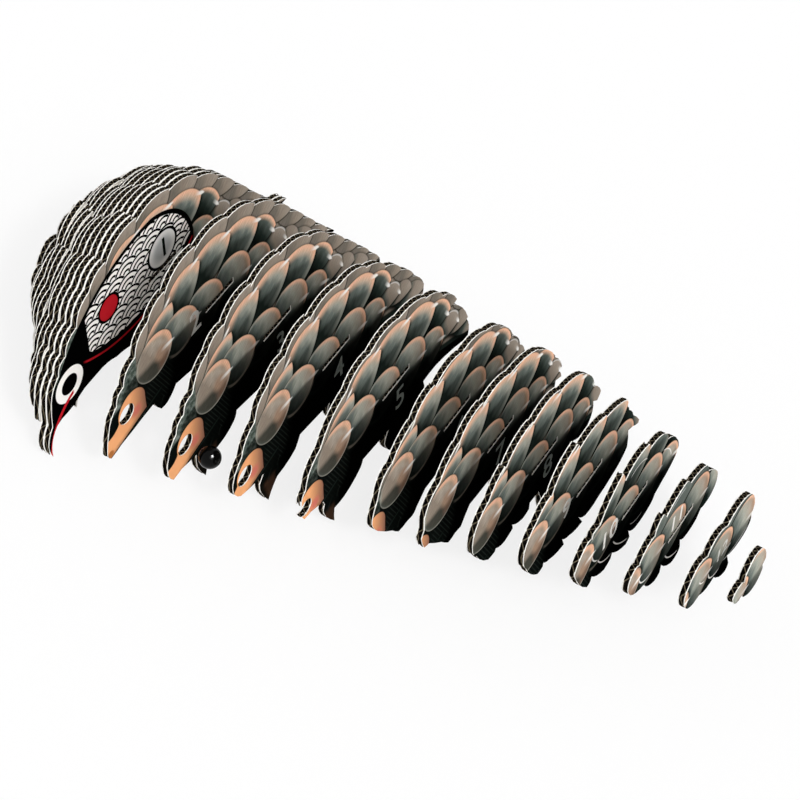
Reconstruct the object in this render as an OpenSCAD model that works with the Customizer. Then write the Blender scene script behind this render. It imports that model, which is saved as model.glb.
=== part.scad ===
// Layered animal puzzle: a scaly walking animal cut in slices from corrugated board.
// The right half stands pressed together on the middle slice. The left half is spread out
// slice by slice along the stacking axis, ready to be pushed on. All lengths are millimetres.
// X runs from the head (-X) to the tail (+X), -Y is the animal's left side, Z is up.
// Origin: on the floor under the tail, in the plane between the two middle slices.

/* [Animal] */
// Length of the middle slices, from the tongue to the end of the tail
body_len = 181.6; // [176:0.2:200]
// Height of the back above the floor
body_h = 87.7; // [86:0.1:98]

/* [Board] */
// Thickness of the corrugated board over both liners
board_t = 3; // [2.4:0.2:4]
// Thickness of each flat liner
liner_t = 0.4; // [0.3:0.1:0.6]
// Thickness of the fluted sheet between the liners
flute_t = 0.35; // [0.25:0.05:0.5]
// Distance from one flute crest to the next on the same liner
flute_pitch = 3.2; // [2.8:0.2:6]

/* [Eyes] */
// Diameter of the eye bead
bead_d = 9.8; // [8:0.2:9.8]
// Gap all round between the bead and its hole
bead_gap = 0.2; // [0.1:0.05:0.4]
// Radius of the notch that keeps the bead in, in the fifth slice
notch_r = 4.3; // [4:0.1:4.6]
// Distance of the eye centre ahead of the origin
eye_ahead = 150; // [140:1:155]

/* [Joining strip] */
// Width of the slot through the slices, along the body
slot_w = 21; // [16:1:24]
// Height of the slot
slot_h = 3.2; // [3.2:0.1:4]
// Distance of the slot's middle behind the eye centre
slot_back = 69; // [64:1:74]
// Height of the slot's lower edge above the eye centre
slot_up = 6.6; // [5:0.2:9]
// Gap at each side of the strip in the slot
strip_gap = 0.2; // [0.1:0.05:0.3]

/* [Spread of the left half] */
// Step from slice to slice over the inner slices
inner_step = 30; // [6:1:40]
// Step from slice to slice over the outer slices
outer_step = 21; // [6:1:40]
// Last step, to the cap slice
cap_step = 16; // [6:1:40]
// How far the left eye bead stands out from its seat
bead_out = 13.5; // [0:0.5:14]

/* [Hidden] */

// Outlines of the slices, from the middle (1) to the flank (13), drawn for a body of
// drawn_len by drawn_h with its eye drawn_eye above the floor.
// Each corner is [x, z, bow]: x behind and z above the eye centre, and how far the stretch
// to the next corner bows outward. They run from the snout over the back to the tail tip
// and home along the belly. A scale ends in a tip and the next one starts just below it.
head_1 = [[-11.5, -16.5, -0.5], [-16, -23, -0.5], [-17.2, -32, 0.5], [-18.6, -23.5, 0.8],
    [-14.2, -14.5, 0.3], [-12.4, 0, 1.3], [-5.4, 11, 0], [-5.2, 12.4, 1.5]];
head_2 = [[-13.4, -16, 0.9], [-15, -10.5, 0.4], [-12.2, 1, 1.3], [-5.4, 10.8, 0],
    [-5.2, 12.2, 1.5]];
back_2 = [[0.6, 17.7, 0], [0.7, 18.9, 2.2], [10, 27.2, 0], [10.2, 28.2, 2.5],
    [20.6, 39.4, 0], [20.9, 39.8, 2.1], [33.2, 46.2, 0], [32.8, 44, 4.3],
    [55.8, 52.4, 0], [54.9, 50, 3.4], [79, 49, 0], [78.5, 48, 2.7],
    [99.1, 38.8, 0], [97.6, 38.4, 1.8], [113.8, 25.3, 0], [112.4, 24.8, 1.6],
    [124.9, 10.9, 0], [123.6, 10.4, 1.1], [134.7, -2.4, 0], [133.5, -3, 1],
    [143.8, -15.8, 0], [142.6, -16.3, 1]];
tail_1 = [[154, -29, 0], [153, -29.5, 0.7], [163, -34.5, 0], [140, -34.5, -1.5],
    [119, -24, -1.2], [101, -16.5, 0]];
tail_2 = [[152.5, -28, 0], [151.5, -28.5, 0.7], [158, -34.5, 0], [140, -34.5, -1.5],
    [119, -23.5, -1.2], [101, -16.3, 0]];
slice_1 = concat(head_1, back_2, tail_1, [[92, -17, 0.5], [78, -20.5, 0.4], [60, -21, 0],
    [43, -18.3, -0.6], [31.5, -14.6, -0.6], [21.5, -11.6, 0], [9, -12, -0.2], [2, -14.4, 0],
    [1.2, -16.8, 0], [0.4, -15, 0.2], [-8, -15.4, 0]]);
slice_2 = concat(head_2, back_2, tail_2, [[92, -17, 0.5], [78, -20.5, 0.4], [60, -21, 0],
    [46.8, -18.6, 0], [33.6, -15.6, 0.6], [26.5, -21, 0.2], [22.2, -20.7, 0.4],
    [17.6, -12.3, 0], [9, -13, 0.2], [-6, -14.6, 0.2]]);
slice_3 = [[-10, -13.2, 1], [-12.8, -4.5, 0.6], [-11.4, 3, 1.1], [-4.8, 12.3, 0],
    [-4.5, 13.5, 1.5], [1.3, 18.9, 0], [1.6, 20, 1.9], [7.8, 25.2, 0], [9, 26.6, 2.3],
    [20.4, 39.3, 0], [20.8, 39.9, 2.2], [32.8, 44.6, 0], [32.3, 43.3, 4], [53, 50.5, 0],
    [52.2, 48.6, 3], [73.8, 49.8, 0], [73.2, 48.3, 2.6], [95.4, 39.8, 0], [94.6, 39.2, 1.8],
    [110.6, 25.8, 0], [109.6, 25.3, 1.5], [122.6, 10.9, 0], [121.6, 10.4, 1.2],
    [133, -3.2, 0], [132, -3.8, 1.2], [142, -15.8, 0], [141, -16.5, 1], [150, -27.5, 0.6],
    [149.5, -34.5, 0], [142, -34.5, -1.4], [119, -22.5, -1.2], [101, -15.8, 0],
    [92, -17, 0.5], [76, -21, 0.4], [56, -20, 0], [36, -16.2, 0.6], [33.4, -21.2, 0.8],
    [23, -25, 0], [16, -25.6, -0.6], [11, -34.5, 0.4], [6.2, -23, 0.4], [6.4, -14.4, 0],
    [-4, -12.4, 0]];
slice_4 = [[-4, -9.7, 0.7], [-8.4, -2.4, 0.3], [-8.2, 3.3, 1], [-1, 13.5, 0],
    [-0.6, 14.6, 1.8], [9.4, 25.9, 0], [10.1, 27.2, 2.3], [20, 38.5, 0], [20.3, 39, 2.2],
    [32.5, 44.1, 0], [32, 42.6, 3.7], [51, 50.2, 0], [50.3, 47.9, 3], [72.6, 49, 0],
    [72.3, 47.9, 2.7], [93.4, 40, 0], [92.8, 39.4, 1.8], [108.6, 25.9, 0],
    [107.8, 25.4, 1.5], [121, 11.8, 0], [120.2, 11.2, 1.2], [131.2, -2, 0],
    [130.4, -2.7, 1.3], [140, -17.5, 0.5], [137.5, -28, 0], [132, -27.5, -1],
    [112, -18.8, -0.5], [101, -15, 0], [91.5, -15.5, 0], [92, -19, 0.7], [87, -34.5, 0],
    [65, -34.5, 0.5], [61, -24.5, 0.4], [63, -19.6, 0], [58, -19.3, 0], [40, -16.7, 0.2],
    [36, -22.6, 0.9], [22, -25.8, -0.6], [14.6, -34.5, 0.3], [10, -24, 0.3], [9.4, -17.5, 0],
    [12.6, -13.2, 0], [8, -12.8, 0.3]];
slice_5 = [[-1.5, -6.6, 0.2], [-3, -2.5, 0], [-2.4, 6.8, 0.6], [0.4, 10.5, 0], [0.8, 11.4, 2.1],
    [10.5, 25, 0], [12.4, 26, 2.6], [31.8, 41.7, 0], [31.4, 40.8, 3], [49.2, 47.8, 0],
    [48.8, 46.9, 2.9], [71, 47.9, 0], [70.8, 47.4, 2.3], [92.5, 40, 0], [91.7, 39.4, 1.8],
    [106.4, 27.8, 0], [105.6, 27.4, 1.7], [118, 13, 0], [115, 12.4, 1.6], [128, -9, 0],
    [127, -9.6, 1.3], [128.6, -22, 0], [124.5, -21.9, -0.8], [101, -14.6, -0.2],
    [91, -14.8, 0], [92, -19, 0.7], [87, -34.5, 0], [64.4, -34.5, 0.6], [59.8, -25, 0.5],
    [63, -18.3, 0], [42.8, -16.2, 0.2], [41, -19.5, 0.9], [28, -25.2, 0.3], [20.4, -24.8, -0.3],
    [20, -33.5, 0.3], [14, -23.5, 0.2], [12.3, -17.5, 0.2], [13.5, -14, 0],
    [12.4, -10.8, 0], [3.5, -7.2, 0.1]];
slice_6 = [[9.5, -5.5, 0.5], [4.2, 3.5, 0.4], [3.6, 8.8, 0.4], [7.6, 18, 0], [9.4, 23.5, 1.6],
    [18, 30.3, 0], [18.8, 30.2, 1.8], [34.4, 40.2, 0], [35, 39.2, 2.7], [50.6, 46.4, 0],
    [51.4, 44.4, 2.6], [71, 45.6, 0], [71.6, 44.7, 2.1], [90, 40, 0], [90.6, 39.2, 1.3],
    [103.4, 29.4, 0], [103, 28.8, 1.4], [114, 13, 0], [113.6, 12.2, 1.1], [121, 0.5, 0],
    [121.2, -1.5, 0.8], [126, -10.5, 0.4], [124.6, -17.5, 0], [112, -15, -0.4],
    [98, -12.6, 0], [91, -14, 0], [91.5, -19, 0.6], [86.5, -34.5, 0], [65, -34.5, 0.6],
    [60.5, -25, 0.5], [62.6, -17.6, 0], [53, -16.6, 0], [44.2, -16.6, 0],
    [37.5, -21.7, 0.5], [34, -24.2, 0], [30, -23.3, 0.3], [23.3, -22.6, 0.2],
    [18.3, -15.8, 0.3]];
slice_7 = [[13, -2.2, 0.2], [9.2, -0.6, 0.3], [7.2, 7.6, 0.2], [9.4, 11.5, 0], [9.5, 19, 2.2],
    [20.3, 30.2, 0], [20.8, 30.3, 1.6], [34.2, 41, 0], [34.8, 39.7, 3], [53, 46.8, 0],
    [53, 44.4, 2.6], [73.9, 42.7, 0], [74.4, 41.9, 1.9], [98, 33.4, 0], [98, 32.7, 1.4],
    [113.6, 12.8, 0], [113.4, 12, 1], [121, -2.2, 0], [118, -2.5, 0.6], [121.2, -9.3, 0],
    [116, -6.8, 0], [115.3, -12, 0.3], [108, -10.2, 0], [96, -11.5, 0], [88.5, -13.5, 0],
    [89, -19, 0.5], [84.5, -34.5, 0], [68.5, -34.5, 0.4], [65.5, -25, 0.4],
    [67.6, -15, 0], [52, -14.2, 0], [45.3, -13.5, -0.2], [38.5, -21.3, 0], [34, -20.4, 0.3],
    [28.5, -20.8, 0.2], [22.8, -13.4, 0.2]];
slice_8 = [[15, 2.5, 0.3], [12, 8.5, 0.4], [12.1, 18, 1.9], [22.7, 30.2, 0], [23.2, 30, 1.4],
    [35.2, 39.8, 0], [36.2, 37.6, 3], [56.6, 44.8, 0], [57.2, 43.2, 3], [78.6, 41.6, 0],
    [79.2, 40.2, 2], [99.6, 29.8, 0], [101, 27.8, 1.2], [110.2, 12, 0], [110, 10.2, 0.9],
    [117.4, -1, 0.5], [114.4, -4.4, 0], [110.8, -1, 0.3], [111, -8, 0.8], [106.5, -14.5, 0.3],
    [101.5, -14.5, 0.5], [95, -10.8, 0], [81.7, -11.7, 0], [81, -16, 0.4], [79.5, -34.5, 0],
    [71.5, -34.5, 0.3], [68.3, -20, 0.2], [66, -13.3, 0], [58.6, -12.6, 0], [58.3, -16.8, 0.3],
    [53.3, -17.5, 0.9], [44.2, -11, 0], [44.8, -14.4, 0.2], [38.3, -15.8, 0.8],
    [31, -11.8, 0], [30.4, -13.4, 0.2], [25, -12.5, 1]];
slice_9 = [[18, 6.5, 0.4], [15.6, 13, 0.3], [15.8, 20, 1.6], [24.6, 30.3, 0], [25, 30.6, 1.2],
    [35.2, 35.6, 0], [35.8, 34, 3.4], [55, 47, 0.6], [57.4, 41.2, 0], [58, 41.2, 2.4],
    [79.5, 38.4, 0], [79.6, 36.9, 1.4], [98.6, 27.8, 0.4], [99, 22.8, 0.4], [101, 18.3, 0.6],
    [106, 9.2, 0.3], [112.6, -1, 0], [112.1, -2.8, 0.3], [107, 0.6, 0], [102.6, 2.6, 0.4],
    [103.4, -9.8, 1.2], [92, -15.9, 0.4], [80, -17.8, 0.9], [68.8, -18, 0.8],
    [62.1, -11.1, 0], [66.3, -19.6, 0.9], [55, -15.8, 0.6], [48.8, -11.1, 0],
    [50.7, -16.9, 0.9], [38.3, -12.4, 0.6], [33.2, -8.4, 0], [32.8, -10.8, 0.3],
    [28.6, -10.9, 1.2]];
slice_10 = [[21, 11, 0.3], [19, 17.5, 1.3], [27.5, 27.6, 0.8], [32, 26, 0], [32.4, 28.8, 0.5],
    [38, 28.2, 0], [38.6, 29, 1.6], [54.6, 43, 0.4], [57, 36, 0], [57.4, 35.2, 2.8],
    [77, 37, 0.3], [78, 32.4, 2], [93, 26, 0.6], [95.4, 19.6, 1.2], [105, 9, 0.5],
    [108, 1, 0.3], [106, -4, 0.8], [95, -9.4, 0.2], [89.5, -11.5, 0.4], [86.5, -15, 1],
    [73, -16, 0.7], [66.5, -10.4, 0], [68.4, -17, 0.2], [65.5, -19, 1.1], [52.6, -9, 0],
    [51.6, -12.2, 0.2], [46.5, -13.6, 1.2], [35, -4, 0], [34.2, -6.8, 0.2], [31.5, -7.3, 1]];
slice_11 = [[27, 9.8, 0.3], [24, 16.5, 0.3], [24.3, 21.8, 0.8], [29, 25.8, 0.5],
    [32.4, 23.6, 0], [32.6, 25.2, 1.2], [41.7, 30.2, 0.3], [44, 29.2, 0], [44.4, 32, 1],
    [49.8, 37, 0.3], [52.6, 32.6, 0], [53, 31.4, 1.4], [69.4, 35.8, 0.5], [73.4, 30.4, 0],
    [73.8, 30, 1.4], [88.5, 24.8, 0.5], [91.2, 17.8, 0.8], [101.3, 6, 1.2],
    [101.3, -4.2, 1.3], [93.3, -7.2, 0.3], [89.2, -5.8, 0], [85.8, -9.6, 0.9],
    [75, -9.7, 0.4], [71, -6, 0], [72.1, -12.1, 0.5], [70.2, -15.3, 0.6], [64.5, -15, 0.9],
    [54.6, -3.8, 0], [54, -8.4, 0.4], [50, -9.3, 1.6], [39.2, 1.7, 0], [36, 2.8, 0.8]];
slice_12 = [[32.6, 11, 0.5], [31, 19.5, 1.5], [40, 29.8, 1.2], [48.8, 25.8, 0],
    [49.3, 27.2, 1], [56, 30.8, 1], [64.6, 27, 0], [65.6, 26.4, 0.7], [74.2, 28.8, 1.3],
    [86.7, 23, 1], [92.7, 9.6, 0.4], [91.2, 3, 0.3], [91.4, -1.6, 0.8], [86, -5, 0.8],
    [75, -3.3, 0.2], [70.8, -0.8, 0], [74, -10, 0.6], [71.7, -13.2, 0.9], [63.3, -7, 0.3],
    [59.6, -2.1, 0.2], [53.3, -2, 0.5], [46.2, 2.1, 0], [41, 2.6, 1.3]];
slice_13 = [[43, 13, 0.3], [40.2, 20, 0.8], [45, 22, 1], [50.4, 18.6, 0], [50.6, 22.6, 0.8],
    [57, 28, 1], [65.5, 23.6, 1], [70.7, 10.4, 0], [68, 8.6, 0.4], [69, 4.5, 0.9],
    [64, 0, 1.2], [54.3, 4.2, 0.8], [50, 10.6, 0], [47.4, 9.8, 0.4]];
outlines = [slice_1, slice_2, slice_3, slice_4, slice_5, slice_6, slice_7, slice_8, slice_9,
    slice_10, slice_11, slice_12, slice_13];

drawn_len = 181.6;
drawn_h = 87.7;
drawn_eye = 34.5;
long = body_len / drawn_len;
tall = body_h / drawn_h;
eye_up = drawn_eye * tall;
last_slotted = 11;
inner_gaps = 5;
outer_gaps = 6;
// How far a block to be cut, or the shape that cuts it, runs past the slice
past = 6;

// Points of one stretch of an outline: a shallow arc from p to q, its far end left out
function stretch(p, q) = let(w = q[0] - p[0], h = q[1] - p[1], l = norm([w, h]),
    steps = p[2] == 0 ? 1 : max(2, ceil(sqrt(abs(p[2]) / 0.12))))
    [for (k = [0 : steps - 1]) let(u = k / steps, s = 4 * p[2] * u * (1 - u))
        [p[0] + w * u - h / l * s, p[1] + h * u + w / l * s]];
function outline(path) = let(n = len(path))
    [for (i = [0 : n - 1]) each stretch(path[i], path[(i + 1) % n])];
function sized(points) = [for (p = points) [p[0] * long, p[1] * tall]];

// How far the left face of left slice i stands out from that of left slice 1
function spread(i) = inner_step * min(i - 1, inner_gaps)
    + outer_step * min(max(i - 1 - inner_gaps, 0), outer_gaps)
    + cap_step * max(i - 1 - inner_gaps - outer_gaps, 0);
// How far left slice i has moved out from its place in the pressed half
function moved(i) = spread(i) - board_t * (i - 1);

// The sheet between the liners zigzags from one to the other: web_in is half its width
// along the board, and the air channels beside it are triangles with their base on a liner
core_h = board_t - 2 * liner_t;
web_slope = atan2(core_h, flute_pitch / 2);
web_in = flute_t / 2 / sin(web_slope);
channel_w = flute_pitch / 2 - web_in;
channel_h = channel_w * tan(web_slope);

module channel() {
    polygon([[-channel_w, 0], [channel_w, 0], [0, channel_h]]);
}

// Plan of a stretch of board that covers x0 to x1, cut across its flutes
module board_plan(x0, x1) {
    first = floor(x0 / flute_pitch) - 1;
    last = ceil(x1 / flute_pitch) + 1;
    difference() {
        translate([first * flute_pitch, 0]) square([(last - first) * flute_pitch, board_t]);
        for (i = [first + 1 : last - 1]) {
            translate([i * flute_pitch, liner_t]) channel();
            translate([(i + 0.5) * flute_pitch, board_t - liner_t]) mirror([0, 1]) channel();
        }
    }
}

// Side view of slice i with its slot and its eye hole or notch, from the eye centre
module face(i) {
    difference() {
        polygon(sized(outline(outlines[i - 1])));
        if (i <= last_slotted) {
            translate([slot_back - slot_w / 2, slot_up]) square([slot_w, slot_h]);
        }
        if (i >= 2 && i <= 4) circle(r = bead_d / 2 + bead_gap, $fn = 64);
        if (i == 5) circle(r = notch_r, $fn = 64);
    }
}

// Slice i of the right half, in its place
module slice(i) {
    corners = sized(outlines[i - 1]);
    xs = [for (p = corners) p[0]];
    zs = [for (p = corners) p[1]];
    low = min(zs) - past;
    high = max(zs) + past;
    translate([-eye_ahead, board_t * (i - 1), eye_up]) intersection() {
        translate([0, 0, low]) linear_extrude(high - low) board_plan(min(xs), max(xs));
        translate([0, board_t + past, 0]) rotate([90, 0, 0])
            linear_extrude(board_t + 2 * past) face(i);
    }
}

// Slice i of the left half, spread out
module left(i) {
    translate([0, -moved(i), 0]) mirror([0, 1, 0]) slice(i);
}

module bead() {
    sphere(d = bead_d, $fn = 64);
}

module right_slice_1() { color("#6a6e68") slice(1); }
module right_slice_2() { color("#5b5f5a") slice(2); }
module right_slice_3() { color("#6a6e68") slice(3); }
module right_slice_4() { color("#5b5f5a") slice(4); }
module right_slice_5() { color("#6a6e68") slice(5); }
module right_slice_6() { color("#5b5f5a") slice(6); }
module right_slice_7() { color("#6a6e68") slice(7); }
module right_slice_8() { color("#5b5f5a") slice(8); }
module right_slice_9() { color("#6a6e68") slice(9); }
module right_slice_10() { color("#5b5f5a") slice(10); }
module right_slice_11() { color("#6a6e68") slice(11); }
module right_slice_12() { color("#5b5f5a") slice(12); }
module right_slice_13() { color("#6a6e68") slice(13); }
module left_slice_1() { color("#8a7e70") left(1); }
module left_slice_2() { color("#7c7062") left(2); }
module left_slice_3() { color("#8a7e70") left(3); }
module left_slice_4() { color("#7c7062") left(4); }
module left_slice_5() { color("#8a7e70") left(5); }
module left_slice_6() { color("#7c7062") left(6); }
module left_slice_7() { color("#8a7e70") left(7); }
module left_slice_8() { color("#7c7062") left(8); }
module left_slice_9() { color("#8a7e70") left(9); }
module left_slice_10() { color("#7c7062") left(10); }
module left_slice_11() { color("#8a7e70") left(11); }
module left_slice_12() { color("#7c7062") left(12); }
module left_slice_13() { color("#8a7e70") left(13); }

// A strip of the same board that lines up the pressed slices. It lies on the lower edges of
// the slots and ends half way into left slice 1, where the left half's strip would meet it.
module joining_strip() {
    x = slot_back - slot_w / 2 + strip_gap - eye_ahead;
    len = (last_slotted + 0.5) * board_t;
    color("#b9a98c") translate([x, -board_t / 2, eye_up + slot_up]) intersection() {
        rotate([90, 0, 90]) linear_extrude(slot_w - 2 * strip_gap) board_plan(0, len);
        cube([slot_w, len, board_t]);
    }
}

// The right bead lies in its holes against right slice 1
module right_eye_bead() {
    color("#151515") translate([-eye_ahead, board_t + bead_d / 2, eye_up]) bead();
}

module left_eye_bead() {
    seat = -(board_t + bead_d / 2) - moved(3);
    color("#151515") translate([-eye_ahead, seat - bead_out, eye_up]) bead();
}

right_slice_1();
right_slice_2();
right_slice_3();
right_slice_4();
right_slice_5();
right_slice_6();
right_slice_7();
right_slice_8();
right_slice_9();
right_slice_10();
right_slice_11();
right_slice_12();
right_slice_13();
left_slice_1();
left_slice_2();
left_slice_3();
left_slice_4();
left_slice_5();
left_slice_6();
left_slice_7();
left_slice_8();
left_slice_9();
left_slice_10();
left_slice_11();
left_slice_12();
left_slice_13();
joining_strip();
right_eye_bead();
left_eye_bead();
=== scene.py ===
"""Looks of the layered animal puzzle, laid over its solid model.

The slices are cut from corrugated board with white liners and a tan fluted core. The walls
inside its flute channels are painted near black, and its cut paper darker than it is, as
painted shade. Their outer faces are printed with the scales of the animal. All print sizes are
millimetres from the eye centre: x runs towards the tail, z runs up.
"""

import logging
import math
from dataclasses import dataclass
from enum import Enum

import bmesh
import bpy
from mathutils import Matrix, Vector


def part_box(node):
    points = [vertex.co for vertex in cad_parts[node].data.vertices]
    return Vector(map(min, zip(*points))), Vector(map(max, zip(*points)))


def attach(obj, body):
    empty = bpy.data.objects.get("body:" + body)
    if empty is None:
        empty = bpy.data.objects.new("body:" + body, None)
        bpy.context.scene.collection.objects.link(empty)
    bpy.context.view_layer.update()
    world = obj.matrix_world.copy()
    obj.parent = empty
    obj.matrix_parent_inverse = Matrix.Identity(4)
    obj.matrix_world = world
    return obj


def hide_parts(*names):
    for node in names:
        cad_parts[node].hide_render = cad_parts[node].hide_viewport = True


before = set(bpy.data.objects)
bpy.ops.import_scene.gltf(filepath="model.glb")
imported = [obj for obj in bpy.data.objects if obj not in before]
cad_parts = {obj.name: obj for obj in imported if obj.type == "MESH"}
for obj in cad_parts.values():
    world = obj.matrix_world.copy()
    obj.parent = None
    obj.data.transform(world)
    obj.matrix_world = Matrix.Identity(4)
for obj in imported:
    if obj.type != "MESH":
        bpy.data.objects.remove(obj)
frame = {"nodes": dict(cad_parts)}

log = logging.getLogger("puzzle")

MM = 0.001
EYE_AHEAD = 150.0
EYE_UP = 34.5
BOARD = 3.0
LINER = 0.4
FLUTE_PITCH = 3.2
SPREAD = (0, 30, 60, 90, 120, 150, 171, 192, 213, 234, 255, 276, 292)
BEAD_D = 9.8
FIRST_TIP = 11  # The first slice that is only a tip of the animal.
EDGE = (0.15, -0.15)  # From outside a printed edge to inside it.

Point = tuple[float, float]
Triple = tuple[float, float, float]


def srgb(red: int, green: int, blue: int) -> Triple:
    """Turns a colour as seen on a screen into the linear one that a shader takes.

    Args:
        red: 0 to 255.
        green: 0 to 255.
        blue: 0 to 255.

    Returns:
        The linear colour, each part 0 to 1.
    """

    def part(value: int) -> float:
        """One part of the colour, made linear."""
        v = value / 255
        return v / 12.92 if v <= 0.04045 else ((v + 0.055) / 1.055) ** 2.4

    return part(red), part(green), part(blue)


class Ink(Enum):
    """The print's inks, the papers that they lie on, and the painted shade of the board's
    core.
    """

    BLACK = srgb(2, 2, 2)
    SHADOW = srgb(10, 14, 12)
    DEEP = srgb(33, 42, 38)
    MOSS = srgb(80, 88, 83)
    SLATE = srgb(104, 112, 107)
    SAGE = srgb(162, 164, 153)
    STONE = srgb(174, 163, 149)
    UMBER = srgb(162, 134, 113)
    RUST = srgb(112, 84, 68)
    COPPER = srgb(235, 187, 156)
    BARK = srgb(143, 131, 118)
    BARK_DARK = srgb(115, 108, 99)
    BARK_LIGHT = srgb(156, 145, 133)
    SKIN = srgb(82, 92, 85)
    SKIN_LIGHT = srgb(134, 143, 136)
    PEACH = srgb(236, 168, 116)
    PEACH_DARK = srgb(140, 98, 80)
    BLUSH = srgb(206, 106, 98)
    NOSTRIL = srgb(174, 110, 62)
    CLAW = srgb(176, 124, 94)
    GLINT = srgb(248, 246, 242)
    RED = srgb(186, 30, 40)
    GREY = srgb(172, 174, 174)
    INDEX = srgb(122, 129, 125)
    PALE = srgb(212, 212, 208)
    LINER = srgb(244, 241, 235)
    BACK = srgb(216, 212, 204)
    # Cut core paper: tan, painted darker than it is as shade of the flute channels.
    WEB = srgb(90, 82, 66)
    # Painted shade: near black on the walls inside the hollow flute channels.
    FLUTE = srgb(20, 17, 14)


class Output:
    """An output socket of a node tree."""

    def __init__(self, nodes: "Nodes", socket: bpy.types.NodeSocket) -> None:
        """Takes the tree and the socket."""
        self.nodes = nodes
        self.socket = socket


class Val(Output):
    """A number that changes over a surface, with Python's operators."""

    def __add__(self, other: "Val | float") -> "Val":
        """Sum."""
        return self.nodes.math("ADD", self, other)

    __radd__ = __add__

    def __sub__(self, other: "Val | float") -> "Val":
        """Difference."""
        return self.nodes.math("SUBTRACT", self, other)

    def __rsub__(self, other: "Val | float") -> "Val":
        """Difference from a number."""
        return self.nodes.math("SUBTRACT", other, self)

    def __mul__(self, other: "Val | float") -> "Val":
        """Product."""
        return self.nodes.math("MULTIPLY", self, other)

    __rmul__ = __mul__

    def __truediv__(self, other: "Val | float") -> "Val":
        """Quotient."""
        return self.nodes.math("DIVIDE", self, other)

    def __abs__(self) -> "Val":
        """Size without its sign."""
        return self.nodes.math("ABSOLUTE", self)

    def most(self, other: "Val | float") -> "Val":
        """The larger of two."""
        return self.nodes.math("MAXIMUM", self, other)

    def least(self, other: "Val | float") -> "Val":
        """The smaller of two."""
        return self.nodes.math("MINIMUM", self, other)

    def ramp(self, low: float, high: float, start: float = 0.0, end: float = 1.0) -> "Val":
        """Goes smoothly from start at low to end at high, and stays there beyond.

        Args:
            low: Where it starts.
            high: Where it ends, which may be the lower one.
            start: What it is up to low.
            end: What it is from high on.

        Returns:
            The new number.
        """
        made = self.nodes.node(
            "ShaderNodeMapRange",
            {0: self, 1: low, 2: high, 3: start, 4: end},
            interpolation_type="SMOOTHSTEP",
            clamp=False,
        )
        return Val(self.nodes, made.outputs[0])


class Hue(Output):
    """A colour that changes over a surface."""

    def over(self, colour: "Hue | Ink", cover: "Val | float") -> "Hue":
        """Paints a colour over this one where cover is 1."""
        return self.nodes.mix(cover, self, colour)

    def lit(self, level: "Val") -> "Hue":
        """The same colour, lighter or darker.

        Args:
            level: What it is multiplied by.

        Returns:
            The new colour.
        """
        made = self.nodes.vector("SCALE", self)
        self.nodes.tree.links.new(level.socket, made.inputs["Scale"])
        return Hue(self.nodes, made.outputs[0])


class Nodes:
    """Builds a node tree from Python expressions."""

    def __init__(self, tree: bpy.types.NodeTree) -> None:
        """Takes the tree to build in."""
        self.tree = tree

    def node(
        self, kind: str, inputs: dict[int | str, object] | None = None, **settings: object
    ) -> bpy.types.Node:
        """Adds any node.

        Args:
            kind: The node's type name.
            inputs: Values or links for its sockets, by index or name.
            **settings: Its settings, set first. "stops" are a colour ramp's stops.

        Returns:
            The new node.
        """
        made = self.tree.nodes.new(kind)
        for name, value in settings.items():
            if name == "stops":
                ramp = made.color_ramp
                while len(ramp.elements) < len(value):
                    ramp.elements.new(0.5)
                for stop, (place, ink) in zip(ramp.elements, value):
                    stop.position = place
                    stop.color = (*ink.value, 1.0)
            else:
                setattr(made, name, value)
        for key, value in (inputs or {}).items():
            socket = made.inputs[key]
            if isinstance(value, Output):
                self.tree.links.new(value.socket, socket)
            elif isinstance(value, bpy.types.NodeSocket):
                self.tree.links.new(value, socket)
            elif isinstance(value, Ink):
                socket.default_value = (*value.value, 1.0)
            else:
                socket.default_value = value
        return made

    def math(self, operation: str, *numbers: "Val | float") -> Val:
        """One Math node on numbers or wrapped sockets."""
        made = self.node("ShaderNodeMath", dict(enumerate(numbers)), operation=operation)
        return Val(self, made.outputs[0])

    def vector(self, operation: str, *vectors: object) -> bpy.types.Node:
        """One Vector Math node."""
        return self.node(
            "ShaderNodeVectorMath", dict(enumerate(vectors)), operation=operation
        )

    def mix(self, factor: "Val | float", under: "Hue | Ink", over: "Hue | Ink") -> Hue:
        """Mixes two colours, over where factor is 1."""
        made = self.node("ShaderNodeMix", {0: factor, 6: under, 7: over}, data_type="RGBA")
        return Hue(self, made.outputs[2])

    def noise(self, place: bpy.types.NodeSocket, scale: float, detail: float) -> Val:
        """Cloudy noise, about 0 to 1.

        Args:
            place: The vector socket that it is read at.
            scale: How many clouds there are per unit.
            detail: How many finer layers it has.

        Returns:
            The noise.
        """
        made = self.node(
            "ShaderNodeTexNoise", {"Vector": place, "Scale": scale, "Detail": detail}
        )
        return Val(self, made.outputs["Fac"])

    def millimetres(self) -> bpy.types.NodeSocket:
        """The place on the object.

        Returns:
            The place, in millimetres.
        """
        place = self.node("ShaderNodeTexCoord").outputs["Object"]
        scaled = self.vector("SCALE", place)
        scaled.inputs["Scale"].default_value = 1 / MM
        return scaled.outputs[0]

    def seen(self) -> Val:
        """1 for rays that the camera sees, 0 for those that only light the object.

        Returns:
            The number.
        """
        rays = self.node("ShaderNodeLightPath").outputs
        seen = Val(self, rays["Is Camera Ray"])
        for kind in ("Is Glossy Ray", "Is Transmission Ray"):
            seen = seen.most(Val(self, rays[kind]))
        return seen

    def finish(self, tint: Hue, rough: Val, specular: float, **more: object) -> None:
        """Ends a material with its surface.

        Args:
            tint: Its colour.
            rough: Its roughness.
            specular: How much it mirrors, 0.5 being common plastic.
            **more: Other sockets of the surface.
        """
        sockets = {"Base Color": tint, "Roughness": rough, "Specular IOR Level": specular}
        shader = self.node("ShaderNodeBsdfPrincipled", sockets | more)
        self.node("ShaderNodeOutputMaterial", {0: shader.outputs[0]})


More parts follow.
